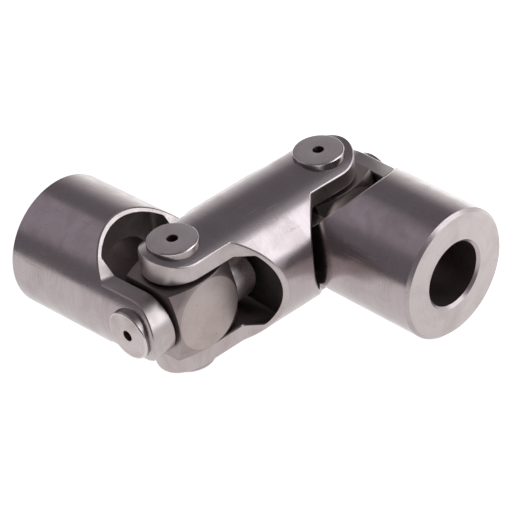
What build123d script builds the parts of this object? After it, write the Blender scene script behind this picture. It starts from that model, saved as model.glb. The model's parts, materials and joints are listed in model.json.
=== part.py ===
"""Double universal joint shaft: two bored hubs joined by a short centre shaft, with a cross block and pins at
each end of it.

The origin is the middle of the centre shaft. The centre shaft lies along X and carries a fork at each end, whose
pins stand along Z. The left joint is on the -X side and the right joint on the +X side. Each hub is folded about
its joint's upright pin, the left one towards +Y and the right one towards -Y, so the joint is a Z seen from above.
It lies on the lower ends of the upright pins, and each hub droops a little about its level pins, until its outer
end rests on the same surface.
"""

import os
from math import asin, degrees, radians, sqrt, tan

from build123d import *

os.makedirs("parts", exist_ok=True)

# Driving dimensions, in millimetres and degrees
shaft_diameter = 16.0  # outside of the centre shaft and of both hubs
bore_diameter = 8.0  # bore of each hub, for the shaft that it couples
bore_length = 11.0  # wall of that bore, from the hub's end face to the pocket in its fork
centre_web = 3.9  # solid metal left between the centre shaft's two pockets
pin_diameter = 6.0  # pins of the cross
lock_pin_diameter = 1.3  # pin that locks the short pins to the long one
ear_wall = 1.0  # metal of an ear on either side of its pin
pocket_wall = 0.5  # thin wall left outside a fork's pocket, between the ears
block_face_border = 0.08  # from the turned face at either end of the cross block to the block's flats
block_corner_angle = 30.0  # slope of the turned corners of the cross block
fold_angle = 86.0  # angle that each hub is folded out of line with the centre shaft

# Clearances and small allowances
block_side_gap = 0.3  # between the cross block and the inside of an ear
ear_side_gap = 0.8  # between an ear and the other fork's ears, when the joint is folded square
sweep_gap = 0.1  # between a pocket's floor and the other fork's ears, at their nearest as they swing past it
shoulder_gap = 0.4  # between the shoulders of the two forks, along either shaft, when the joint is folded square
pin_running_gap = 0.03  # between a pin and its hole in an ear, on the radius
pin_stand_out = 0.44  # how far a pin's end stands out of the shaft's outside
pin_seat_gap = 0.1  # between the inner end of a short pin and the long pin
lock_pin_set_back = 1.0  # from a short pin's outer end to the end of the lock pin inside it
centre_drill_depth = 1.6  # blind hole in either end of the long pin
pin_edge_break = 0.2
bore_edge_break = 0.33
hub_edge_break = 0.4
ear_edge_break = 0.12
cutter_overrun = 1.0  # how far a cut runs past the metal

# Sizes that follow
shaft_radius = shaft_diameter / 2
bore_radius = bore_diameter / 2
pin_radius = pin_diameter / 2
lock_pin_radius = lock_pin_diameter / 2
pocket_radius = shaft_radius - pocket_wall
ear_width = pin_diameter + 2 * ear_wall
ear_radius = ear_width / 2
slot_width = ear_width + 2 * ear_side_gap
block_size = slot_width - 2 * block_side_gap
fork_depth = sqrt(shaft_radius**2 + ear_radius**2) + sweep_gap
ear_chord = sqrt(shaft_radius**2 - (slot_width / 2) ** 2)
shoulder = (ear_chord - slot_width / 2 + shoulder_gap) / 2
pivot_spacing = 2 * fork_depth + centre_web
hub_length = fork_depth + bore_length
pin_reach = shaft_radius + pin_stand_out
bar_start = -ear_radius - cutter_overrun / 2
droop_angle = degrees(asin(pin_stand_out / (hub_length - hub_edge_break)))


def fork_waste(fork):
    """The metal taken off the end of a round bar to leave a fork.

    The fork's plane has its origin at the joint centre, its X along the bar towards the solid metal and its Z
    along the pins. The ears are straight, with ends rounded about the pin, and widen at 45 degrees into the bar
    from where their sides meet the shoulders.
    """
    tip = ear_radius + cutter_overrun
    side = shaft_radius + cutter_overrun
    mouth = Plane(origin=fork.origin - fork.x_dir * tip, x_dir=fork.z_dir, z_dir=fork.x_dir)
    with BuildPart() as waste:
        with BuildSketch(fork):
            with BuildLine():
                Polyline(
                    (-tip, -side), (shoulder + side, -side), (shoulder, 0), (shoulder + side, side), (-tip, side),
                    close=True,
                )
            make_face()
            Circle(ear_radius, mode=Mode.SUBTRACT)
            with Locations(((shoulder + ear_radius) / 2, 0)):
                Rectangle(shoulder + ear_radius, ear_width, mode=Mode.SUBTRACT)
        extrude(amount=side, both=True)
        with BuildSketch(mouth):
            Circle(pocket_radius)
            Rectangle(slot_width, 2 * side, mode=Mode.INTERSECT)
        extrude(amount=tip + fork_depth)
    return waste.part


# Centre shaft: one turned bar with a fork milled into each end and a solid web between the two pockets
centre_forks = [
    Plane(origin=(-pivot_spacing / 2, 0, 0), x_dir=(1, 0, 0), z_dir=(0, 0, 1)),
    Plane(origin=(pivot_spacing / 2, 0, 0), x_dir=(-1, 0, 0), z_dir=(0, 0, 1)),
]
with BuildPart() as centre_shaft:
    with BuildSketch(Plane.YZ):
        Circle(shaft_radius)
    extrude(amount=pivot_spacing / 2 - bar_start, both=True)
    for fork in centre_forks:
        add(fork_waste(fork), mode=Mode.SUBTRACT)
        chamfer(centre_shaft.edges(Select.LAST), ear_edge_break)
    with Locations(*centre_forks):
        Hole(pin_radius + pin_running_gap)
centre_shaft.part.label = "centre_shaft"
export_step(centre_shaft.part, "parts/centre_shaft.step")

for side, fork in zip(("left", "right"), centre_forks):
    # The cross turns with the fold about its upright pin, and the hub droops from there about its level pins
    straight_out = -fork.x_dir
    outward = straight_out.rotate(Axis.Z, -fold_angle)
    level_pins = Vector(0, 0, 1).cross(outward)
    cross = Plane(origin=fork.origin, x_dir=outward, z_dir=level_pins)
    hub_direction = outward.rotate(Axis((0, 0, 0), level_pins), droop_angle)
    hub_fork = Plane(origin=fork.origin, x_dir=hub_direction, z_dir=level_pins)
    hub_axis = Axis(fork.origin, hub_direction)
    bar_end = Plane(origin=fork.origin + hub_direction * bar_start, z_dir=hub_direction)

    # Hub: the same bar and fork, bored from its outer end into the pocket
    with BuildPart() as hub:
        with BuildSketch(bar_end):
            Circle(shaft_radius)
        extrude(amount=hub_length - bar_start)
        chamfer(hub.faces().sort_by(hub_axis)[-1].edges(), hub_edge_break)
        add(fork_waste(hub_fork), mode=Mode.SUBTRACT)
        chamfer(hub.edges(Select.LAST), ear_edge_break)
        with BuildSketch(hub_fork):
            with BuildLine():
                Polyline(
                    (fork_depth, 0), (fork_depth, bore_radius + bore_edge_break),
                    (fork_depth + bore_edge_break, bore_radius), (hub_length - bore_edge_break, bore_radius),
                    (hub_length + cutter_overrun, bore_radius + bore_edge_break + cutter_overrun),
                    (hub_length + cutter_overrun, 0),
                    close=True,
                )
            make_face()
        revolve(axis=hub_axis, mode=Mode.SUBTRACT)
        with Locations(hub_fork):
            Hole(pin_radius + pin_running_gap)
    hub.part.label = f"{side}_hub"
    export_step(hub.part, f"parts/{side}_hub.step")

    # Cross block: square bar with its two end faces turned down to a circle, cross drilled for the pins
    half = block_size / 2
    face_radius = half - block_face_border
    corner_radius = half * sqrt(2) + cutter_overrun
    corner_drop = (corner_radius - face_radius) * tan(radians(block_corner_angle))
    block_end = Plane(origin=fork.origin - outward * half, x_dir=level_pins, z_dir=outward)
    with BuildPart() as block:
        with BuildSketch(block_end):
            Rectangle(block_size, block_size)
        extrude(amount=block_size)
        with BuildSketch(cross):
            with BuildLine():
                Polyline(
                    (-half, 0), (-half, face_radius), (corner_drop - half, corner_radius),
                    (half - corner_drop, corner_radius), (half, face_radius), (half, 0),
                    close=True,
                )
            make_face()
        revolve(axis=Axis(fork.origin, outward), mode=Mode.INTERSECT)
        with Locations(fork, cross):
            Hole(pin_radius)
    block.part.label = f"{side}_block"
    export_step(block.part, f"parts/{side}_block.step")

    # Long pin: stands upright through the centre shaft's ears and the block, centre drilled at both ends
    pin_foot = Plane(origin=fork.origin - Vector(0, 0, pin_reach))
    with BuildPart() as long_pin:
        with BuildSketch(pin_foot):
            Circle(pin_radius)
        extrude(amount=2 * pin_reach)
        chamfer(long_pin.edges().filter_by(GeomType.CIRCLE), pin_edge_break)
        with Locations(long_pin.faces().sort_by(Axis.Z)[0], long_pin.faces().sort_by(Axis.Z)[-1]):
            Hole(lock_pin_radius, depth=centre_drill_depth)
        with Locations(cross):
            Hole(lock_pin_radius)
    long_pin.part.label = f"{side}_long_pin"
    export_step(long_pin.part, f"parts/{side}_long_pin.step")

    # Short pins: one from each side, through an ear of the hub into the block, up to the long pin
    for place, toward in (("outer", 1), ("inner", -1)):
        pin_direction = level_pins * toward
        pin_root = Plane(origin=fork.origin + pin_direction * (pin_radius + pin_seat_gap), z_dir=pin_direction)
        with BuildPart() as short_pin:
            with BuildSketch(pin_root):
                Circle(pin_radius)
            extrude(amount=pin_reach - pin_radius - pin_seat_gap)
            chamfer(short_pin.edges().filter_by(GeomType.CIRCLE).sort_by(Axis(fork.origin, pin_direction))[-1],
                    pin_edge_break)
            with Locations(pin_root):
                Hole(lock_pin_radius)
        short_pin.part.label = f"{side}_short_pin_{place}"
        export_step(short_pin.part, f"parts/{side}_short_pin_{place}.step")

    # Lock pin: a thin rivet through both short pins and the long one
    lock_reach = pin_reach - lock_pin_set_back
    with BuildPart() as lock_pin:
        with BuildSketch(cross.offset(-lock_reach)):
            Circle(lock_pin_radius)
        extrude(amount=2 * lock_reach)
    lock_pin.part.label = f"{side}_lock_pin"
    export_step(lock_pin.part, f"parts/{side}_lock_pin.step")
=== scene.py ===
import json
from math import cos, hypot, pi, radians, sin

import bmesh
import bpy
from mathutils import Matrix, Vector


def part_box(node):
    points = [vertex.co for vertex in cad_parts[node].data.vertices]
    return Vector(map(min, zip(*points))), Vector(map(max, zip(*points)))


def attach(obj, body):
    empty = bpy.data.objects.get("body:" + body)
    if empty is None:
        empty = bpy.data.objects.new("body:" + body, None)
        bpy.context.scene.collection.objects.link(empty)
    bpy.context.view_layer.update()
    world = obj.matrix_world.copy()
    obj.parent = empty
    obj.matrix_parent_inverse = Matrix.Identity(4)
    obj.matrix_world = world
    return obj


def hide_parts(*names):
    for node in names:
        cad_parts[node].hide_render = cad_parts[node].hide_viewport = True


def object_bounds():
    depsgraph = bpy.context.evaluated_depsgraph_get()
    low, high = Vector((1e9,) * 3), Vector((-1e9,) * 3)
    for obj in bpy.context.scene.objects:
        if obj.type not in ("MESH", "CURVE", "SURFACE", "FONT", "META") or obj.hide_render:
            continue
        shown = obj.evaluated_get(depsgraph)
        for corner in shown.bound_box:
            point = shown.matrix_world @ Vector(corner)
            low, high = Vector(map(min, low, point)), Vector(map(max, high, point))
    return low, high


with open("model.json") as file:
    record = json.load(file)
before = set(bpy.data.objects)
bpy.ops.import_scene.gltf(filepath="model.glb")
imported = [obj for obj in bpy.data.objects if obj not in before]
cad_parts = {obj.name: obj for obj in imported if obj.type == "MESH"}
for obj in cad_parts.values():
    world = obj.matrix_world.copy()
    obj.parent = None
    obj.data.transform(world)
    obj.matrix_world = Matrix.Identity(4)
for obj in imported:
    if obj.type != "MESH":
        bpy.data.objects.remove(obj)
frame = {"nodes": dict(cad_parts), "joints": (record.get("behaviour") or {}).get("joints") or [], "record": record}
cad_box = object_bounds()

# ---- Studio -----------------------------------------------------------------------------------------------
# A round glowing white table top in a dim room, with a large soft light and its wide halo on the right, a weaker
# light high on the left and a pale wall on two sides. The joint lies on its long pins and its hubs' ends.
mm = 0.001
table_gap = 0.01 * mm
table_level = cad_box[0][2] - table_gap
table_radius = 110 * mm
wall_heading = radians(75)
side_heading = radians(155)
camera_place = Vector((-168.5, -225.0, 209.3)) * mm
camera_target = Vector((-0.22, -0.36, 0)) * mm
camera_roll = radians(-7.75)
camera_field = radians(9.485)

bpy.context.scene.view_settings.view_transform = "Standard"


def add_node(tree, kind, inputs, **settings):
    """A new node of a kind, with its settings, and its inputs set to a value or joined to another node."""
    new = tree.nodes.new("ShaderNode" + kind)
    for name, value in settings.items():
        setattr(new, name, value)
    for name, value in inputs.items():
        if isinstance(value, bpy.types.NodeSocket):
            tree.links.new(value, new.inputs[name])
        else:
            new.inputs[name].default_value = value
    return new


def new_material(name, metallic):
    """A material with nothing but its shader, returned with that shader."""
    material = bpy.data.materials.new(name)
    material.use_nodes = True
    shader = material.node_tree.nodes["Principled BSDF"]
    shader.inputs["Metallic"].default_value = metallic
    return material, shader


def finished_object(name, shape, materials):
    """A bmesh made into an object at the origin."""
    mesh = bpy.data.meshes.new(name)
    shape.to_mesh(mesh)
    shape.free()
    for material in materials:
        mesh.materials.append(material)
    thing = bpy.data.objects.new(name, mesh)
    bpy.context.scene.collection.objects.link(thing)
    return thing


glowing_table_material, table_shader = new_material("glowing_table", 0.0)
table_shader.inputs["Base Color"].default_value = (0.2, 0.2, 0.2, 1)
table_shader.inputs["Roughness"].default_value = 0.9
table_shader.inputs["Specular IOR Level"].default_value = 0.0
# The table top glows: enough to wash out the joint's shadows on it, and more strongly toward the wall, a painted
# pool of light that the steel reflects.
table_shader.inputs["Emission Color"].default_value = (1, 1, 1, 1)
tree = glowing_table_material.node_tree
spot = add_node(tree, "TexCoord", {}).outputs["Object"]
to_wall = add_node(tree, "VectorMath", {0: spot, 1: (sin(wall_heading), cos(wall_heading), 0)},
                   operation="DOT_PRODUCT").outputs["Value"]
glow = add_node(tree, "MapRange", {"Value": to_wall, "From Min": 5 * mm, "From Max": 75 * mm, "To Min": 0.97,
                                   "To Max": 1.7}).outputs["Result"]
tree.links.new(glow, table_shader.inputs["Emission Strength"])
table_shape = bmesh.new()
bmesh.ops.create_circle(table_shape, cap_ends=True, segments=96, radius=table_radius,
                        matrix=Matrix.Translation((0, 0, table_level)))
finished_object("table_top", table_shape, [glowing_table_material])

# The room is dim above and pale where the wall meets the table; only the camera sees it plain white
world = bpy.data.worlds.new("dim_room")
bpy.context.scene.world = world
world.use_nodes = True
tree = world.node_tree
outlook = add_node(tree, "TexCoord", {}).outputs["Generated"]
height = add_node(tree, "SeparateXYZ", {0: outlook}).outputs["Z"]


def glow_above_table(heading, top, edge):
    """How deep a direction lies in a pale patch above the table's rim: 0 outside, 1 in the middle."""
    low_down = add_node(tree, "MapRange", {"Value": height, "From Min": top,
                                           "From Max": -0.05}).outputs["Result"]
    toward = add_node(tree, "VectorMath", {0: outlook, 1: (sin(heading), cos(heading), 0)},
                      operation="DOT_PRODUCT").outputs["Value"]
    facing = add_node(tree, "MapRange", {"Value": toward, "From Min": edge, "From Max": 0.95},
                      interpolation_type="SMOOTHSTEP").outputs["Result"]
    return add_node(tree, "Math", {0: low_down, 1: facing}, operation="MULTIPLY").outputs[0]


wall_glow = glow_above_table(wall_heading, 0.5, 0.1)
side_glow = glow_above_table(side_heading, 0.45, 0.5)
room = add_node(tree, "Math", {0: wall_glow, 1: 1.1, 2: 0.21}, operation="MULTIPLY_ADD").outputs[0]
room = add_node(tree, "Math", {0: side_glow, 1: 0.4, 2: room}, operation="MULTIPLY_ADD").outputs[0]
seen = add_node(tree, "LightPath", {}).outputs["Is Camera Ray"]
strength = add_node(tree, "MapRange", {"Value": seen, "To Min": room, "To Max": 1.0}).outputs["Result"]
tint = add_node(tree, "Mix", {"Factor": wall_glow, 6: (1, 0.97, 1.05, 1), 7: (1, 1.04, 0.99, 1)},
                data_type="RGBA").outputs[2]
tint = add_node(tree, "Mix", {"Factor": seen, 6: tint, 7: (1, 1, 1, 1)}, data_type="RGBA").outputs[2]
tree.links.new(tint, tree.nodes["Background"].inputs["Color"])
tree.links.new(strength, tree.nodes["Background"].inputs["Strength"])


def soft_light(name, heading, rise, distance, size, radiance, tint):
    """A square soft light that looks at the joint from a heading east of +Y and a height above the table."""
    lamp = bpy.data.lights.new(name, "AREA")
    lamp.size = size
    lamp.energy = radiance * pi * size * size
    lamp.color = tint
    place = Vector((sin(heading) * cos(rise), cos(heading) * cos(rise), sin(rise))) * distance
    thing = bpy.data.objects.new(name, lamp)
    thing.location = place
    thing.rotation_euler = place.to_track_quat("Z", "Y").to_euler()
    bpy.context.scene.collection.objects.link(thing)


soft_light("right_soft_light", radians(138), radians(34), 0.6, 0.47, 1.85, (0.97, 1.03, 1.05))
soft_light("right_halo", radians(138), radians(34), 0.7, 0.9, 0.3, (0.97, 1.03, 1.05))
soft_light("high_left_soft_light", radians(-24), radians(39), 0.6, 0.5, 0.28, (1, 0.95, 1.06))

camera_data = bpy.data.cameras.new("camera")
camera_data.angle = camera_field
camera_data.clip_start = 10 * mm
camera = bpy.data.objects.new("camera", camera_data)
camera.location = camera_place
aim = (camera_target - camera_place).to_track_quat("-Z", "Y").to_matrix()
camera.rotation_euler = (aim @ Matrix.Rotation(camera_roll, 3, "Z")).to_euler()
bpy.context.scene.collection.objects.link(camera)
bpy.context.scene.camera = camera

# ---- Centre shaft -----------------------------------------------------------------------------------------
# One ground steel bar with a fork milled into each end. The outside keeps fine grinding lines that run round
# it and a little handling dirt, the fork's edges are bright from the cutter, and its pockets are painted darker as
# shade.
nodes = frame["nodes"]
joints = {joint["name"]: joint for joint in frame["joints"]}
merge_distance = 0.001 * mm
round_tolerance = 0.005 * mm
sharp_angle = radians(18)
upright = Vector((0, 0, 1))


def place_of(centre, along, up):
    """A piece's own frame: its origin, its X along the piece's axis and its Z square to that."""
    turned = Matrix((along, up.cross(along), up)).transposed().to_4x4()
    return Matrix.Translation(centre) @ turned


def steel(name, place, colour, roughness, marks, depth, grime=0.4, spread=0.16):
    """Bare steel with tool marks in the piece's own frame, faint stains, small pits and fine scratches."""
    material, shader = new_material(name, 1.0)
    tree = material.node_tree
    position = add_node(tree, "TexCoord", {}).outputs["Object"]
    own = add_node(tree, "Mapping", {"Vector": position, "Location": place.translation,
                                     "Rotation": place.to_euler(), "Scale": (mm, mm, mm)},
                   vector_type="TEXTURE").outputs["Vector"]
    lined_up = own
    stretch = {"around": (13, 0.3, 0.3), "rings": (8, 0.3, 0.3), "upright": (8, 8, 0.35),
               "along": (0.35, 9, 9)}
    if marks == "rings":
        flat = add_node(tree, "VectorMath", {0: own, 1: (0, 1, 1)}, operation="MULTIPLY").outputs["Vector"]
        from_axis = add_node(tree, "VectorMath", {0: flat}, operation="LENGTH").outputs["Value"]
        parts = add_node(tree, "SeparateXYZ", {0: own})
        lined_up = add_node(tree, "CombineXYZ", {"X": from_axis, "Y": parts.outputs["Y"],
                                                 "Z": parts.outputs["Z"]}).outputs[0]
    stretched = add_node(tree, "VectorMath", {0: lined_up, 1: stretch[marks]},
                         operation="MULTIPLY").outputs["Vector"]
    lines = add_node(tree, "TexNoise", {"Vector": stretched, "Scale": 1.0, "Detail": 4.0,
                                        "Roughness": 0.65}).outputs["Fac"]
    stains = add_node(tree, "TexNoise", {"Vector": own, "Scale": 0.28, "Detail": 5.0, "Roughness": 0.6,
                                         "Distortion": 0.6}).outputs["Fac"]
    grit = add_node(tree, "TexNoise", {"Vector": own, "Scale": 2.6, "Detail": 2.0}).outputs["Fac"]
    pits = add_node(tree, "MapRange", {"Value": grit, "From Min": 0.72, "From Max": 0.8}).outputs["Result"]
    slanted = add_node(tree, "Mapping", {"Vector": own, "Rotation": (0.5, 0.9, 0.35),
                                         "Scale": (0.22, 5, 5)}).outputs["Vector"]
    nicks = add_node(tree, "TexNoise", {"Vector": slanted, "Scale": 1.0, "Detail": 1.0}).outputs["Fac"]
    scratches = add_node(tree, "MapRange", {"Value": nicks, "From Min": 0.70,
                                            "From Max": 0.74}).outputs["Result"]

    # Colour: light and dark along the tool marks, browner and darker in the stains, dark in the pits
    light = (*[c * (1 + spread) for c in colour], 1)
    dark = (*[c * (1 - spread) for c in colour], 1)
    brown = (*[c * k for c, k in zip(colour, (0.66, 0.58, 0.56))], 1)
    black = (*[c * 0.35 for c in colour], 1)
    along_lines = add_node(tree, "MapRange", {"Value": lines, "From Min": 0.3,
                                              "From Max": 0.7}).outputs["Result"]
    metal = add_node(tree, "Mix", {"Factor": along_lines, 6: dark, 7: light}, data_type="RGBA").outputs[2]
    stained = add_node(tree, "MapRange", {"Value": stains, "From Min": 0.45, "From Max": 0.75,
                                          "To Max": grime}).outputs["Result"]
    metal = add_node(tree, "Mix", {"Factor": stained, 6: metal, 7: brown}, data_type="RGBA").outputs[2]
    metal = add_node(tree, "Mix", {"Factor": pits, 6: metal, 7: black}, data_type="RGBA").outputs[2]
    tree.links.new(metal, shader.inputs["Base Color"])

    # Gloss: duller where it is stained or scratched
    gloss = add_node(tree, "MapRange", {"Value": stains, "From Min": 0.3, "From Max": 0.7,
                                        "To Min": roughness - 0.04,
                                        "To Max": roughness + 0.08}).outputs["Result"]
    gloss = add_node(tree, "MapRange", {"Value": scratches, "To Min": gloss,
                                        "To Max": roughness + 0.2}).outputs["Result"]
    tree.links.new(gloss, shader.inputs["Roughness"])

    # Relief: the tool marks, cut a little deeper by the scratches and the pits
    cuts = add_node(tree, "Math", {0: scratches, 1: pits}, operation="ADD").outputs[0]
    relief = add_node(tree, "Math", {0: lines, 1: cuts}, operation="SUBTRACT").outputs[0]
    bump = add_node(tree, "Bump", {"Height": relief, "Distance": depth, "Strength": 1.0}).outputs["Normal"]
    tree.links.new(bump, shader.inputs["Normal"])
    return material


def shade_round(mesh, axes):
    """Gives faces that are round about one of some axes, each a point and a direction, exact normals."""
    normals = [Vector((0, 0, 0)) for loop in mesh.loops]
    for face in mesh.polygons:
        corners = [mesh.vertices[mesh.loops[i].vertex_index].co for i in face.loop_indices]
        for point, direction in axes:
            arms = [(corner - point) - direction * (corner - point).dot(direction) for corner in corners]
            lengths = [arm.length for arm in arms]
            slants = [face.normal.dot(arm.normalized()) for arm in arms]
            if max(lengths) - min(lengths) < round_tolerance and min(map(abs, slants)) > cos(sharp_angle):
                for i, arm in zip(face.loop_indices, arms):
                    normals[i] = arm.normalized() if slants[0] > 0 else -arm.normalized()
    mesh.normals_split_custom_set(normals)


def finished_copy(name, node, place, axes, finish_of, materials):
    """The shape of a CAD node as one smooth mesh, each face's finish chosen in the piece's own frame."""
    shape = bmesh.new()
    shape.from_mesh(nodes[node].data)
    bmesh.ops.remove_doubles(shape, verts=shape.verts, dist=merge_distance)
    shape.normal_update()
    to_own = place.inverted()
    for face in shape.faces:
        face.smooth = True
        spot = to_own @ face.calc_center_median() / mm
        face.material_index = finish_of(spot, to_own.to_3x3() @ face.normal)
    piece = finished_object(name, shape, materials)
    piece.data.set_sharp_from_angle(angle=sharp_angle)
    shade_round(piece.data, axes)
    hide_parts(node)
    return piece


bar_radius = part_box("centre_shaft")[1][2] / mm
pocket_wall = 0.5
pocket_radius = bar_radius - pocket_wall
ground_colour = (0.42, 0.362, 0.37)
milled_colour = (0.46, 0.405, 0.4)
# The pockets' dark colour is painted shade inside them.
pocket_shade_colour = (0.14, 0.115, 0.115)
squarely = 0.99  # part of a face's normal along a direction, from which the face counts as square to it
close_by = 0.02  # how near a face lies to a surface to count as on it, in mm


def fork_steels(name, place):
    """The three finishes of a forked bar: ground outside, milled fork and pocket inside, coloured dark as painted
    shade.
    """
    return [
        steel(f"{name}_ground_steel", place, ground_colour, 0.21, "around", 0.0014 * mm, spread=0.08),
        steel(f"{name}_milled_steel", place, milled_colour, 0.3, "upright", 0.0012 * mm, spread=0.08),
        steel(f"{name}_pocket_shaded_steel", place, pocket_shade_colour, 0.5, "along", 0.002 * mm, grime=0.6),
    ]


def fork_finish(place, facing):
    """Which finish a face of a forked bar has: 0 ground outside, 1 milled, 2 pocket inside, painted dark as shade.
    """
    from_axis = hypot(place.y, place.z)
    outward = (facing.y * place.y + facing.z * place.z) / max(from_axis, close_by)
    if from_axis > bar_radius - 0.03 and outward > squarely:
        return 0
    if from_axis < pocket_radius + close_by and abs(facing.z) < squarely and outward < -0.1:
        return 2
    if facing.x < -squarely and place.x > bar_radius:
        return 2
    return 1


shaft_place = place_of(Vector((0, 0, 0)), Vector((1, 0, 0)), upright)
joint_x = abs(joints["right_long_pin_hinge"]["pos_m"][0]) / mm


def shaft_finish(place, facing):
    """The finish of a centre shaft face, seen from whichever joint is nearer."""
    towards = 1 if place.x > 0 else -1
    nearer = Vector((joint_x - abs(place.x), place.y, place.z))
    return fork_finish(nearer, Vector((-towards * facing.x, facing.y, facing.z)))


shaft_axes = [(Vector((0, 0, 0)), Vector((1, 0, 0)))]
shaft_axes += [(Vector(joints[f"{side}_long_pin_hinge"]["pos_m"]), upright) for side in ("left", "right")]
shaft = finished_copy("centre_shaft_finished", "centre_shaft", shaft_place, shaft_axes, shaft_finish,
                      fork_steels("shaft", shaft_place))
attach(shaft, "centre_shaft")

# ---- Hubs -------------------------------------------------------------------------------------------------
# Two short bars like the centre shaft, each with a fork at one end. The other end is faced square in a
# lathe, which leaves faint rings, and bored for the shaft that is fixed in it. The bore is painted dark as shade.
bore_radius = frame["record"]["mounts"][0]["dims"]["r_mm"]
faced_colour = (0.5, 0.45, 0.445)
# The bore's dark colour is painted shade inside it.
bore_shade_colour = (0.17, 0.13, 0.13)
broken_edge = 0.5

for side in ("left", "right"):
    centre = Vector(joints[f"{side}_short_pin_hinge"]["pos_m"])
    level_pins = Vector(joints[f"{side}_short_pin_hinge"]["axis"])
    mount = next(m for m in frame["record"]["mounts"] if m["name"] == f"{side}_bore")
    hub_place = place_of(centre, Vector(mount["axis"]).normalized(), level_pins)
    hub_end = max((hub_place.inverted() @ v.co).x for v in nodes[f"{side}_hub"].data.vertices) / mm

    def hub_finish(place, facing):
        """The finish of a hub face: as on any fork, and 3 faced end, 4 bored, painted dark as shade, 5 broken
        edges at the end.
        """
        from_axis = hypot(place.y, place.z)
        if place.x > hub_end - close_by and facing.x > squarely:
            return 3
        if from_axis < bore_radius + close_by and abs(facing.x) < 0.1 and place.x > bar_radius:
            return 4
        if place.x > hub_end - broken_edge and facing.x > 0.5:
            return 5
        return fork_finish(place, facing)

    hub_steels = fork_steels(f"{side}_hub", hub_place)
    hub_steels += [
        steel(f"{side}_hub_faced_steel", hub_place, faced_colour, 0.36, "rings", 0.004 * mm, spread=0.06),
        steel(f"{side}_hub_bored_shaded_steel", hub_place, bore_shade_colour, 0.5, "around", 0.004 * mm, grime=0.6),
        steel(f"{side}_hub_edge_steel", hub_place, ground_colour, 0.3, "around", 0.002 * mm, spread=0.05),
    ]
    hub_axes = [(centre, Vector(mount["axis"]).normalized()), (centre, level_pins)]
    hub = finished_copy(f"{side}_hub_finished", f"{side}_hub", hub_place, hub_axes, hub_finish, hub_steels)
    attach(hub, f"{side}_hub")

# ---- Cross blocks -----------------------------------------------------------------------------------------
# The square block in the middle of each joint: bar stock with its two ends faced and its corners turned down
# to a round face, cross drilled for the pins. The faced ends are dull, the flats are milled and darker.
block_colour = (0.43, 0.365, 0.35)
flat_colour = (0.36, 0.3, 0.29)
# The turned corners' darker colour is painted shade.
corner_shade_colour = (0.3, 0.25, 0.245)


def block_finish(place, facing):
    """The finish of a block face: 0 faced ends, 1 turned corners, painted darker as shade, 2 milled flats."""
    if abs(facing.x) > squarely:
        return 0
    return 1 if abs(facing.x) > 0.2 else 2


for side in ("left", "right"):
    centre = Vector(joints[f"{side}_short_pin_hinge"]["pos_m"])
    level_pins = Vector(joints[f"{side}_short_pin_hinge"]["axis"])
    block_place = place_of(centre, level_pins.cross(upright), level_pins)
    block_steels = [
        steel(f"{side}_block_faced_steel", block_place, block_colour, 0.42, "rings", 0.003 * mm,
              spread=0.05),
        steel(f"{side}_block_turned_shaded_steel", block_place, corner_shade_colour, 0.3, "rings", 0.002 * mm,
              spread=0.08),
        steel(f"{side}_block_milled_steel", block_place, flat_colour, 0.36, "along", 0.002 * mm,
              spread=0.08),
    ]
    block = finished_copy(f"{side}_block_finished", f"{side}_block", block_place, [], block_finish,
                          block_steels)
    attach(block, f"{side}_cross")

# ---- Pins -------------------------------------------------------------------------------------------------
# Hardened and ground steel pins. The long one stands upright through the centre shaft's ears and the block,
# with a hole drilled in both ends. Two short ones come in level from the hub's ears, each drilled through.
pin_colour = (0.36, 0.315, 0.315)
pin_end_colour = (0.62, 0.555, 0.55)
pin_rim_colour = (0.6, 0.54, 0.54)
# The drilled holes' dark colour is painted shade inside them.
hole_shade_colour = (0.2, 0.15, 0.15)
pin_radius = (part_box("left_long_pin")[1][0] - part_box("left_long_pin")[0][0]) / 2 / mm
drill_radius = (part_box("left_lock_pin")[1][2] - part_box("left_lock_pin")[0][2]) / 2 / mm
drill_depth = 1.6
drill_point = 0.4
rim_round = 0.22
mouth_break = 0.05
pin_steps = 96


def span_of(node, place):
    """How far a CAD node reaches along the X of a frame, in mm."""
    reach = [(place.inverted() @ vertex.co).x / mm for vertex in nodes[node].data.vertices]
    return min(reach), max(reach)


def turned(name, place, outline, rounds, finish_of, materials):
    """An outline of distances along an axis and from it, its corners rounded, turned about the axis."""
    shape = bmesh.new()
    corners = [shape.verts.new((along, 0, from_axis)) for along, from_axis in outline]
    for here, there in zip(corners, corners[1:]):
        shape.edges.new((here, there))
    for i, size in rounds.items():
        bmesh.ops.bevel(shape, geom=[corners[i]], offset=size, segments=4, profile=0.5, affect="VERTICES",
                        material=-1)
    bmesh.ops.spin(shape, geom=shape.verts[:] + shape.edges[:], cent=(0, 0, 0), axis=(1, 0, 0),
                   dvec=(0, 0, 0), angle=2 * pi, steps=pin_steps, use_merge=True)
    bmesh.ops.remove_doubles(shape, verts=shape.verts, dist=merge_distance / mm)
    bmesh.ops.recalc_face_normals(shape, faces=shape.faces)
    for face in shape.faces:
        face.smooth = True
        face.material_index = finish_of(face.calc_center_median(), face.normal)
    bmesh.ops.transform(shape, matrix=place @ Matrix.Diagonal((mm, mm, mm, 1)), verts=shape.verts)
    piece = finished_object(name, shape, materials)
    piece.data.set_sharp_from_angle(angle=sharp_angle)
    return piece


def pin_steels(name, place):
    """The four finishes of a pin: ground side, faced end, polished rim and drilled hole, the hole painted dark as
    shade.
    """
    return [
        steel(f"{name}_ground_steel", place, pin_colour, 0.24, "around", 0.0014 * mm, spread=0.08),
        steel(f"{name}_faced_steel", place, pin_end_colour, 0.52, "rings", 0.003 * mm, spread=0.08),
        steel(f"{name}_rim_steel", place, pin_rim_colour, 0.18, "around", 0.001 * mm, spread=0.05),
        steel(f"{name}_drilled_shaded_steel", place, hole_shade_colour, 0.4, "around", 0.003 * mm),
    ]


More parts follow.
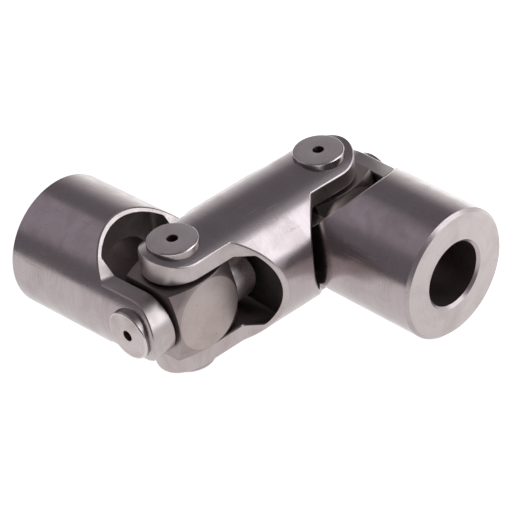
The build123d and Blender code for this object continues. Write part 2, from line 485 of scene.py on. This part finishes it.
def pin_finish(place, facing):
    """Which of the four finishes a pin's face has."""
    from_axis = hypot(place.y, place.z)
    if from_axis < drill_radius + mouth_break:
        return 3
    if abs(facing.x) > squarely:
        return 1
    return 2 if abs(facing.x) > 0.1 else 0


for side in ("left", "right"):
    centre = Vector(joints[f"{side}_long_pin_hinge"]["pos_m"])
    level_pins = Vector(joints[f"{side}_short_pin_hinge"]["axis"])
    out_of_hub = level_pins.cross(upright)

    name = f"{side}_long_pin"
    place = place_of(centre, upright, out_of_hub)
    foot, head = span_of(name, place)
    outline = [
        (head - drill_depth - drill_point, 0), (head - drill_depth, drill_radius), (head, drill_radius),
        (head, pin_radius), (foot, pin_radius), (foot, drill_radius), (foot + drill_depth, drill_radius),
        (foot + drill_depth + drill_point, 0),
    ]
    long_pin = turned(f"{name}_finished", place, outline,
                      {2: mouth_break, 3: rim_round, 4: rim_round, 5: mouth_break}, pin_finish,
                      pin_steels(name, place))
    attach(long_pin, f"{side}_cross")
    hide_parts(name)

    for end, direction in (("outer", level_pins), ("inner", -level_pins)):
        name = f"{side}_short_pin_{end}"
        place = place_of(centre, direction, upright)
        root, head = span_of(name, place)
        outline = [(root, drill_radius), (head, drill_radius), (head, pin_radius), (root, pin_radius),
                   (root, drill_radius)]
        short_pin = turned(f"{name}_finished", place, outline, {1: mouth_break, 2: rim_round}, pin_finish,
                           pin_steels(name, place))
        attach(short_pin, f"{side}_cross")
        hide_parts(name)

# ---- Lock pins --------------------------------------------------------------------------------------------
# A thin hardened pin driven through both short pins and the long pin, which keeps all of them in the block.
# Its slightly domed ends lie below the short pins' faces, and it is coloured dark as painted shade for the holes
# that they lie in.
lock_pin_shade_colour = (0.16, 0.135, 0.13)
dome = 0.2

for side in ("left", "right"):
    name = f"{side}_lock_pin"
    centre = Vector(joints[f"{side}_short_pin_hinge"]["pos_m"])
    place = place_of(centre, Vector(joints[f"{side}_short_pin_hinge"]["axis"]), upright)
    foot, head = span_of(name, place)
    outline = [(head, 0), (head, drill_radius), (foot, drill_radius), (foot, 0)]
    lock_shaded_steel = steel(f"{name}_steel", place, lock_pin_shade_colour, 0.35, "around", 0.002 * mm)
    lock_pin = turned(f"{name}_finished", place, outline, {1: dome, 2: dome}, lambda place, facing: 0,
                      [lock_shaded_steel])
    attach(lock_pin, f"{side}_cross")
    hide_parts(name)
